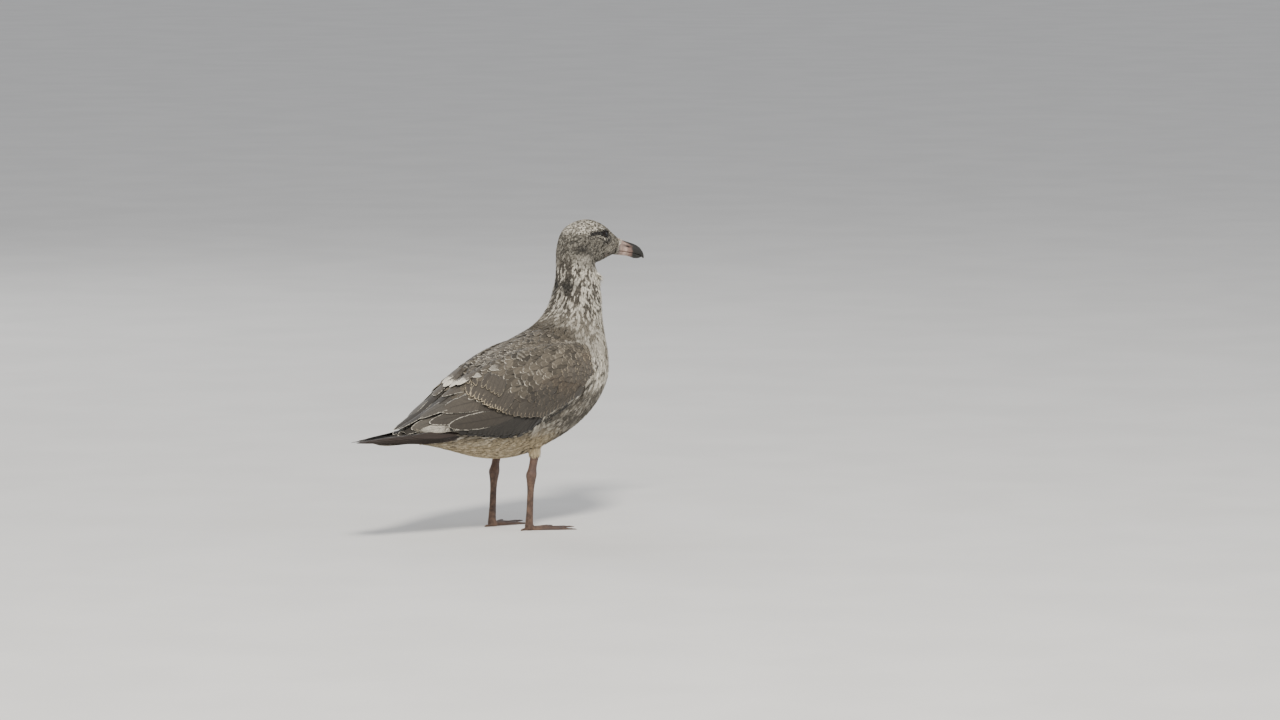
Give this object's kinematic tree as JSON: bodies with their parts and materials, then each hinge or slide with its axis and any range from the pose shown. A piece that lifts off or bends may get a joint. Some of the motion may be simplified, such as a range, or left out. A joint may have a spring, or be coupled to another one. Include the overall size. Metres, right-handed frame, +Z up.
{
  "type": "seagull",
  "caption": "Life-size still model of a young gull standing upright on both webbed feet, wings folded over the back and tail, head raised and looking ahead.",
  "frame": {"origin": "centre of the bottom of the bounding box, on the floor between the feet and the middle of the body", "axes": "+X the way the bird heads, +Y to its left, +Z up"},
  "size_m": [0.4383, 0.1218, 0.3501],
  "materials": {
    "head_plumage": "matte feathers, streaked",
    "neck_plumage": "matte feathers, streaked",
    "body_plumage": "matte feathers, mottled",
    "wing_plumage": "matte feathers with paler edges",
    "flight_feathers": "satin vanes",
    "leg_skin": "scaly, satin",
    "bill_horn": "smooth horn, dark toward the tip",
    "eye_surface": "wet gloss"
  },
  "bodies": {
    "root": {"head": "head_plumage", "neck": "neck_plumage", "trunk": "body_plumage", "wing_right": "wing_plumage", "wing_left": "wing_plumage", "primaries_right": "flight_feathers", "primaries_left": "flight_feathers", "tail": "flight_feathers", "thigh_right": "body_plumage", "thigh_left": "body_plumage", "leg_right": "leg_skin", "leg_left": "leg_skin", "foot_right": "leg_skin", "foot_left": "leg_skin", "bill_upper": "bill_horn", "bill_lower": "bill_horn", "eye_right": "eye_surface", "eye_left": "eye_surface"}
  },
  "joints": []
}
